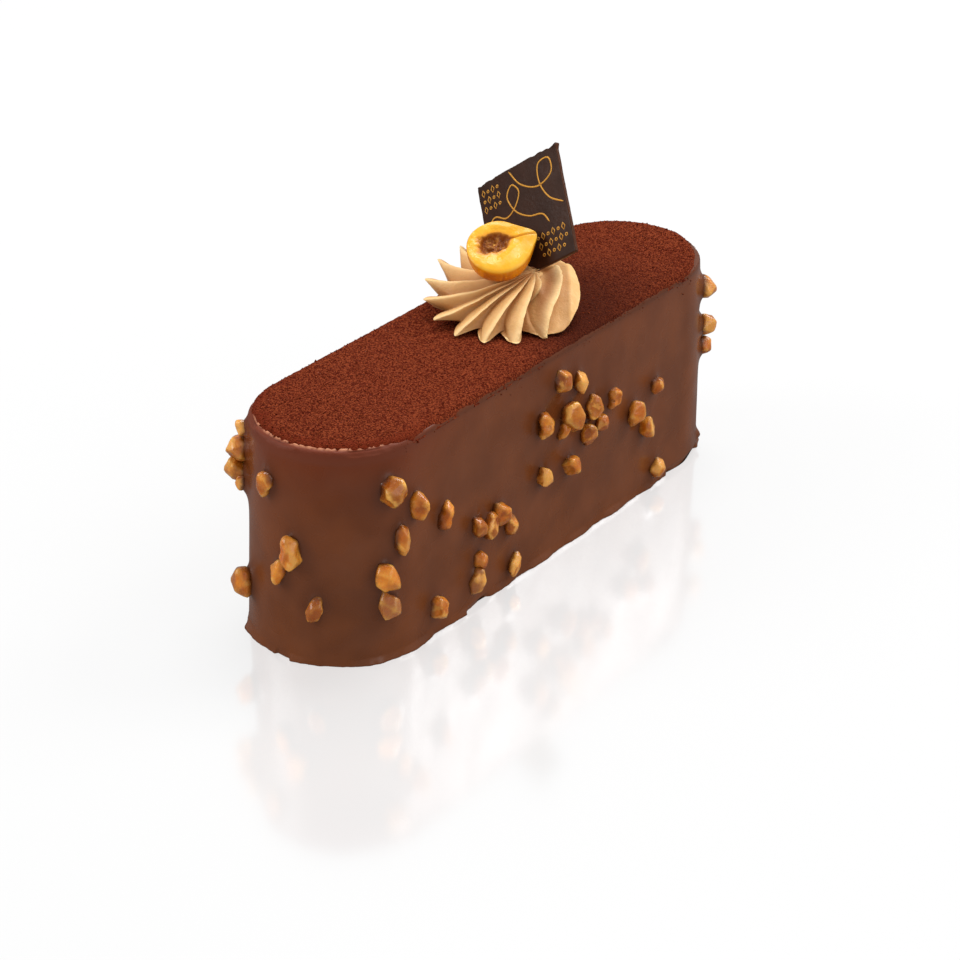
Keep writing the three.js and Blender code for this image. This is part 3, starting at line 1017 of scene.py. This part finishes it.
def creamRosette():
    turn = fullTurn(rosette["cols"])
    degrees = np.degrees(turn)
    crest, valley = profileLine(crestUnder, crestOver), profileLine(valleyUnder, valleyOver)
    count, bend = ridgeCount(turn, crest[..., 0], crest[..., 1])
    wall = np.clip(1 - crest[..., 1] / rosette["rimRise"], 0, 1)
    # A smooth bulge low on the right
    bulge = hump(degrees, *rosette["bulgeAround"]) * hump(crest[..., 1], *rosette["bulgeUp"])
    pastBent = count - rosette["bentCrest"]
    flatter = bend * smoothStep(pastBent, -0.1, 0.3)
    filled = 1 - (1 - 0.4 * flatter) * (1 - 0.75 * flatter * smoothStep(wall, 0, 0.3)) * (1 - 0.8 * bulge)
    ridge = ridgeProfile(count)
    ridge = ridge + (1 - ridge) * filled
    share, rise = np.moveaxis(valley + (crest - valley) * ridge[..., None], -1, 0)
    line = hump(pastBent, bend, 0, 0.09)
    share = share * (1 - hump(degrees, *rosette["slim"])) + 0.05 * bulge + 0.015 * line
    rise = rise + 0.3 * line * smoothStep(rise, 1, 4)
    above = np.clip(rise / rosette["rimRise"] - 1, 0, None)
    tip = rosette["rimTip"] * share**2 * smoothStep(rise, 0, rosette["rimRise"])
    tipped = tip * np.cos(turn - math.radians(rosette["rimTipAngle"]))
    shiftX, shiftY = rosette["apexShift"]
    rows = np.stack(
        [
            rosette["x"] + shiftX * above**1.3 + rosette["radius"] * share * np.cos(turn),
            rosette["y"] + shiftY * above**1.3 + rosette["radius"] * share * np.sin(turn),
            topHeight + np.maximum(rise + tipped, 0.1 * rise),
        ],
        -1,
    )
    wobble = noiseVector(softNoise, rows, 3.2, 81)
    tear = noiseVector(roughNoise, rows, 0.7, 85, 2) * ridge[..., None] ** 4
    steady = smoothStep(rows[..., 2:3], topHeight, topHeight + 2)
    rows += (rosette["wobble"] * wobble + rosette["tear"] * tear) * steady
    foot = rows[:1] - (0, 0, 0.5)
    points = pressedOpen(np.concatenate([foot, rows]).reshape(-1, 3))
    faces = gridFaces(len(rows) + 1, rosette["cols"], closeFirst=True, closeLast=True)
    # Painted shade in the valleys and beside the crests that bend round the top; painted highlight along the
    # crests
    part = count - np.floor(count)
    hollowShade = smoothStep(part, 0.35, 0.85) * smoothStep(part, 1.0, 0.92) * bend
    hollowShade = hollowShade * np.select([pastBent < 0, pastBent < 1], [1.0, 0.5], 0.0)
    deep = np.maximum((1 - ridge) * np.sqrt(np.minimum(share, 1)), hollowShade)
    lit = np.maximum(0.6 * smoothStep(ridge, 0.75, 1) * (1 - bend), 0.7 * line)
    masks = {"valley": deep, "crest": lit}
    masks = {name: np.concatenate([mask[:1], mask]) for name, mask in masks.items()}
    piece = newPiece("creamRosette", points, faces, creamLook(), **masks)
    asPart(piece, "cream", "cream_rosette")


def hazelnutLook():
    look = Look("hazelnutFlesh", Specular_IOR_Level=0.25, Coat_Weight=0.15, Coat_Roughness=0.15)
    face = look.tones((252, 188, 54), (246, 175, 40), Scale=0.35, Low=0.35, High=0.65, Detail=3.0)
    color = look.layered(face, flank=(220, 128, 0), streak=(176, 84, 0), ring=(206, 118, 20))
    core = look.tones((136, 68, 18), (196, 124, 52), Scale=0.8, Low=0.45, High=0.7, Detail=4.0)
    color = look.mix(look.attribute("hollow"), color, core)
    color = look.layered(color, fibre=(232, 178, 84))
    rough = look.rough(Smooth=0.2, Rough=0.42, Scale=0.5)
    grain = look.grain(0.04, Scale=1.5, Low=0.0, High=1.0, Detail=3.0)
    return look.feed(Base_Color=color, Roughness=rough, Normal=grain)


def hazelnutHalf():
    angle = fullTurn(hazelnut["cols"])
    fromTip = angle - hazelnut["tipAngle"]
    reach = nutReach(angle)
    cut = 0.5 * hazelnut["faceCut"] * smoothStep(np.sin(fromTip + 0.3), 0.2, -0.8)
    rim = hazelnut["edgeRound"] * (1 - hump(wrapAngle(fromTip), 0.6, 0, 0.45)) + cut
    inner = 1 - (rim + cut) / hazelnut["radius"]
    belly = hazelnut["bulge"] * smoothStep(np.sin(fromTip), 0.3, -0.6)
    rows = []  # share of the reach and height, from under the kernel to the middle of its face
    for turn in np.linspace(0.02, 1, hazelnut["bellyRows"]) * math.pi / 2:
        wide = math.sin(turn) * (1 + belly * math.sin(2 * turn))
        rows.append((wide, -rim - (hazelnut["depth"] - rim) * math.cos(turn)))
    for turn in np.linspace(0, 1, hazelnut["edgeRows"])[1:] * math.pi / 2:
        rows.append((1 - (1 - inner) * (1 - math.cos(turn)), -rim * (1 - math.sin(turn))))
    for step in np.linspace(0, 1, hazelnut["faceRows"])[1:]:
        rows.append((inner * (1 - step) + 0.004, 0 * rim))
    share, low = np.array(rows).transpose(1, 0, 2)
    x, y = share * reach * np.cos(angle), share * reach * np.sin(angle)
    face = np.arange(len(rows))[:, None] >= hazelnut["bellyRows"]
    # Almond-shaped hollow, with a crack on to the tip and a split the other way
    fromX, fromY = x - hazelnut["hollowMiddle"][0], y - hazelnut["hollowMiddle"][1]
    cosine, sine = math.cos(hazelnut["hollowAngle"]), math.sin(hazelnut["hollowAngle"])
    along, across = fromX * cosine + fromY * sine, fromY * cosine - fromX * sine
    flat = np.stack([x, y, 0 * x], -1)
    longAway = along / hazelnut["hollowLength"]
    wideAway = across / (hazelnut["hollowWidth"] * (1 - 0.3 * np.clip(longAway, -1, 1)))
    bent = np.hypot(longAway, wideAway) + 0.14 * roughNoise(flat, 1.4, 91)
    hollow = smoothStep(bent, 1.0, 0.6)
    crack = hump(across + 0.2 * (along - 3), smoothStep(along, 2.4, 3.4), 0, 0.2)
    split = hump(across + 1.3 * (along + 3.2), smoothStep(-along, 2.6, 3.4), 0, 0.45)
    split = split * smoothStep(across, 1.0, -0.4)
    inward = np.clip(1 - np.hypot(x, y) / reach, 0, 1)
    dug = hazelnut["hollowDepth"] * hollow + hazelnut["crack"] * crack + hazelnut["split"] * split
    dug = dug + hazelnut["dish"] * smoothStep(bent, 2.0, 0.9)
    dug = dug - hazelnut["crown"] * smoothStep(inward, 0.0, 0.3)
    dug = dug - hazelnut["rough"] * hollow * roughNoise(flat, 0.8, 93)
    points = np.stack([x, y, low - face * dug], -1)
    points += hazelnut["uneven"] * noiseVector(roughNoise, points, 3.2, 95, 2)
    fibre = smoothStep(roughNoise(flat, 0.5, 97), 0.25, 0.6)
    fibre = fibre * hump(along, 1, 0, 1.2) * hump(across, 1, 0.6, 0.8)
    around = np.stack([np.cos(angle), np.sin(angle), 0 * angle], -1)
    masks = dict(
        hollow=np.clip(smoothStep(bent, 1.08, 0.8) + 0.5 * crack * smoothStep(along, 5, 2), 0, 1) * face,
        ring=np.clip(0.7 * smoothStep(bent, 1.3, 0.9) + 0.4 * crack + 0.5 * split, 0, 1) * face,
        flank=smoothStep(-low, 0.08, 0.55),
        fibre=fibre * face,
        streak=0.8 * smoothStep(roughNoise(around, 0.16, 99), -0.1, 0.7) * smoothStep(-low, 0.3, 1.2),
    )
    points = moved(hazelnutFrame, points.reshape(-1, 3))
    faces = gridFaces(len(rows), hazelnut["cols"], closeFirst=True, closeLast=True)
    piece = newPiece("hazelnutHalf", points, faces, hazelnutLook(), **masks)
    asPart(piece, "hazelnut", "hazelnut_half")


def plaqueLook():
    look = Look("darkChocolate", Specular_IOR_Level=0.12)
    base = look.tones((60, 34, 21), (51, 28, 16), Scale=0.2, Low=0.3, High=0.7, Detail=3.0)
    # Painted highlight on the square's edges
    color = look.layered(base, edge=(84, 46, 24))
    rough = look.rough(Smooth=0.28, Rough=0.42, Scale=0.25)
    grain = look.grain(0.04, Scale=1.2, Low=0.0, High=1.0, Detail=3.0)
    return look.feed(Base_Color=color, Roughness=rough, Normal=grain)


def onPlaque(across, up, out):
    # From places on the square's front to the cake's frame: out is the height above the front
    half = plaque["side"] / 2
    y = -plaque["thickness"] / 2 - out + plaque["bow"] * ((across / half) ** 2 - 0.5)
    return moved(plaqueFrame, np.stack([across, y, up], -1).reshape(-1, 3))


def chocolateSquare():
    # Rings of the square's outline, from the middle of its front over the edge to the middle of its back
    half = plaque["side"] / 2
    run = np.linspace(-1, 1, plaque["steps"], endpoint=False)
    outline = np.concatenate(
        [
            np.stack([run, 0 * run - 1], -1),
            np.stack([0 * run + 1, run], -1),
            np.stack([-run, 0 * run + 1], -1),
            np.stack([0 * run - 1, -run], -1),
        ]
    )
    bevel, thick = plaque["bevel"], plaque["thickness"]
    flatShares = [k / plaque["rings"] for k in range(1, plaque["rings"])]
    profile = [(share, 0.0) for share in flatShares]
    profile += [(1 - bevel / half, 0.0), (1 - bevel / half * 0.3, bevel * 0.3), (1.0, bevel)]
    profile += [(1.0, thick / 2), (1.0, thick - bevel)]
    profile += [(1 - bevel / half * 0.3, thick - bevel * 0.3), (1 - bevel / half, thick)]
    profile += [(1 - share, thick) for share in flatShares]
    rows, edge = [], []
    for share, deep in profile:
        flat = outline * share * half
        ragged = plaque["chips"] + plaque["topChips"] * smoothStep(outline[:, 1], 0.9, 1.0)
        chip = ragged * roughNoise(np.c_[flat, 0 * flat[:, 0]], 1.4, 101, 3) * smoothStep(share, 0.9, 1.0)
        flat = flat * (1 - np.clip(chip + 0.05, 0, 0.5) / half)[:, None]
        # Small bead of chocolate on the top corner
        corner = hump(np.linalg.norm(outline * share - 1, axis=1) * half, 1, 0, 0.8)
        flat = flat + plaque["bead"] * 0.7 * corner[:, None]
        out = -deep - plaque["bead"] * corner * (2 * deep / thick - 1)
        rows.append(onPlaque(flat[:, 0], flat[:, 1], out))
        # Painted highlight on the bevels and sides
        edge.append(np.full(len(flat), plaque["edgeHighlight"] if 0 < deep < thick else 0.0))
    rows = np.array(rows)
    faces = gridFaces(len(rows), len(outline), closeFirst=True, closeLast=True)
    piece = newPiece("chocolateSquare", rows.reshape(-1, 3), faces, plaqueLook(), edge=np.array(edge))
    asPart(piece, "dark_chocolate", "chocolate_square")


# Gold ornament printed on the square: two curling stems, and rows of small rings and lozenges
ornament = dict(
    line=0.32,
    thin=0.2,
    height=0.03,
    sunk=0.04,
    pitch=1.4,
    ring=0.28,
    ringCorners=14,
    lozenge=(0.45, 0.75),
)
stems = [
    [(-2, 11), (0.6, 7.2), (5.2, 5), (9.2, 6.6), (9, 9.6), (6.2, 9.4), (5.6, 5.8), (7.4, 1.8), (10.8, -0.6)],
    [(-11, 1.4), (-8, 3.4), (-4.8, 2), (-2, 3.2), (-0.2, 6), (-1.8, 8)]
    + [(-3.6, 6.2), (-2, 2.4), (1.4, 0), (5, -1), (6.4, -3.2)],
]
# Each row of marks: where it starts, then how many
markRows = [(-10, 9.4, 4), (-10, 7.6, 4), (-10, 5.8, 4), (2.6, -5.4, 6), (3, -7.3, 6), (3.4, -9.2, 5)]


def ribbon(points, width, closed=False):
    pts = np.array(points, float)
    ahead = np.roll(pts, -1, 0) - np.roll(pts, 1, 0)
    if not closed:
        ahead[0], ahead[-1] = pts[1] - pts[0], pts[-1] - pts[-2]
    ahead /= np.maximum(np.linalg.norm(ahead, axis=1, keepdims=True), 1e-9)
    side = np.stack([-ahead[:, 1], ahead[:, 0]], -1)
    taper = np.full(len(pts), width / 2)
    if not closed:
        taper = taper * np.clip(np.minimum(np.arange(len(pts)), np.arange(len(pts))[::-1]) / 4 + 0.35, 0, 1)
    left, right = pts + side * taper[:, None], pts - side * taper[:, None]
    up, down = ornament["height"], -ornament["sunk"]
    corners = [(left, up), (left, down), (right, down), (right, up)]
    verts = np.stack([onPlaque(p[:, 0], p[:, 1], level + 0 * p[:, 0]) for p, level in corners], 1)
    faces = []
    count = len(pts)
    for i in range(count if closed else count - 1):
        k = (i + 1) % count
        for a in range(4):
            b = (a + 1) % 4
            faces.append([4 * i + a, 4 * i + b, 4 * k + b, 4 * k + a])
    if not closed:
        faces += [[3, 2, 1, 0], [4 * count - 4 + a for a in range(4)]]
    return verts.reshape(-1, 3), faces


def goldOrnament():
    strokes = []
    for points in stems:
        strokes.append((smoothCurve(points, 16 * len(points)), ornament["line"], False))
    for row, (x, y, count) in enumerate(markRows):
        for k in range(count):
            size, corners = ornament["lozenge"], 4
            if (k + row) % 2:
                size, corners = (ornament["ring"], ornament["ring"]), ornament["ringCorners"]
            turn = fullTurn(corners)
            around = np.stack([np.cos(turn), np.sin(turn)], -1)
            strokes.append(((x + ornament["pitch"] * k, y) + around * size, ornament["thin"], True))
    verts, faces, count = [], [], 0
    for path, width, closed in strokes:
        points, quads = ribbon(path, width, closed)
        verts.append(points)
        faces += [[i + count for i in quad] for quad in quads]
        count += len(points)
    look = Look("goldPrint", Base_Color=srgb(214, 150, 46), Metallic=0.3, Roughness=0.42)
    piece = newPiece("goldOrnament", np.concatenate(verts), faces, look.material)
    asPart(piece, None, "chocolate_square")


glazedBody()
choppedNuts()
cocoaMaterial = cocoaLook()
cocoaTop(cocoaMaterial)
cocoaGrains(cocoaMaterial)
creamRosette()
hazelnutHalf()
chocolateSquare()
goldOrnament()

# Studio: white glossy floor, soft lights and the photo's camera
studio = dict(
    floorSize=4.0,
    floorDrop=0.05,
    floorWhite=0.22,
    floorGlow=0.63,
    floorMirrored=0.135,
    floorRoughness=0.12,
    floorIor=2.3,
    world=0.48,
    background=1.0,
    aimHeight=0.03,
)
photo = dict(
    azimuth=-53.78,
    elevation=28.2,
    distance=524.9,
    target=(-15.66, -9.88, 20.0),
    roll=0.53,
    lens=100.0,
    sensor=36.0,
    clip=(0.01, 20.0),
)
lights = [
    dict(name="topLight", azimuth=110, elevation=68, distance=1.0, size=0.5, watts=5.5),
    dict(name="keyLight", azimuth=62, elevation=42, distance=1.2, size=0.5, watts=6.0),
    dict(name="fillLight", azimuth=0, elevation=30, distance=1.2, size=0.8, watts=2.6),
    dict(name="edgeLight", azimuth=-135, elevation=30, distance=1.2, size=0.7, watts=6.0),
]


def whiteFloor():
    half, low = studio["floorSize"] / 2 / mm, -studio["floorDrop"]
    corners = [(-half, -half, low), (half, -half, low), (half, half, low), (-half, half, low)]
    look = Look("whiteAcrylic", Roughness=studio["floorRoughness"], IOR=studio["floorIor"])
    look.shader.inputs["Emission Strength"].default_value = studio["floorGlow"]
    # Lit from below, and darker where the glaze mirrors it
    path = look.nodes.new("ShaderNodeLightPath").outputs
    mirrored = path["Is Glossy Ray"]
    white, grey = studio["floorWhite"], studio["floorMirrored"]
    tone = look.mix(mirrored, (white, white, white, 1), (grey, grey, grey, 1))
    glow = look.mix(mirrored, (1.0, 1.0, 1.0, 1.0), (grey, grey, grey, 1))
    look.feed(Base_Color=tone, Emission_Color=glow, Specular_IOR_Level=path["Is Camera Ray"])
    newPiece("floor", corners, [[0, 1, 2, 3]], look.material)


def directionTo(azimuth, elevation):
    turn, rise = math.radians(azimuth), math.radians(elevation)
    flat = math.cos(rise)
    return Vector((math.sin(turn) * flat, -math.cos(turn) * flat, math.sin(rise)))


def softbox(name, azimuth, elevation, distance, size, watts):
    back = directionTo(azimuth, elevation)
    data = bpy.data.lights.new(name, "AREA")
    data.shape, data.size, data.energy = "SQUARE", size, watts
    lamp = bpy.data.objects.new(name, data)
    lamp.location = back * distance + Vector((0, 0, studio["aimHeight"]))
    lamp.rotation_euler = (-back).to_track_quat("-Z", "Y").to_euler()
    bpy.context.scene.collection.objects.link(lamp)
    lamp.visible_camera = False


def whiteWorld():
    world = bpy.data.worlds.new("studio")
    bpy.context.scene.world = world
    world.use_nodes = True
    nodes, links = world.node_tree.nodes, world.node_tree.links
    seen = nodes.new("ShaderNodeLightPath")
    blend = nodes.new("ShaderNodeMix")
    blend.inputs["A"].default_value = studio["world"]
    blend.inputs["B"].default_value = studio["background"]
    links.new(seen.outputs["Is Camera Ray"], blend.inputs["Factor"])
    nodes["Background"].inputs["Color"].default_value = (1, 1, 1, 1)
    links.new(blend.outputs["Result"], nodes["Background"].inputs["Strength"])


def photoCamera():
    back = directionTo(photo["azimuth"], photo["elevation"])
    data = bpy.data.cameras.new("photoCamera")
    data.lens, data.sensor_width = photo["lens"], photo["sensor"]
    data.clip_start, data.clip_end = photo["clip"]
    camera = bpy.data.objects.new("photoCamera", data)
    camera.rotation_mode = "QUATERNION"
    camera.location = (Vector(photo["target"]) + back * photo["distance"]) * mm
    level = (-back).to_track_quat("-Z", "Y")
    camera.rotation_quaternion = level @ Quaternion((0, 0, 1), math.radians(photo["roll"]))
    bpy.context.scene.collection.objects.link(camera)
    bpy.context.scene.camera = camera


whiteFloor()
for light in lights:
    softbox(**light)
whiteWorld()
photoCamera()
bpy.context.scene.view_settings.view_transform = "Standard"
print("floor, lights and camera are set")
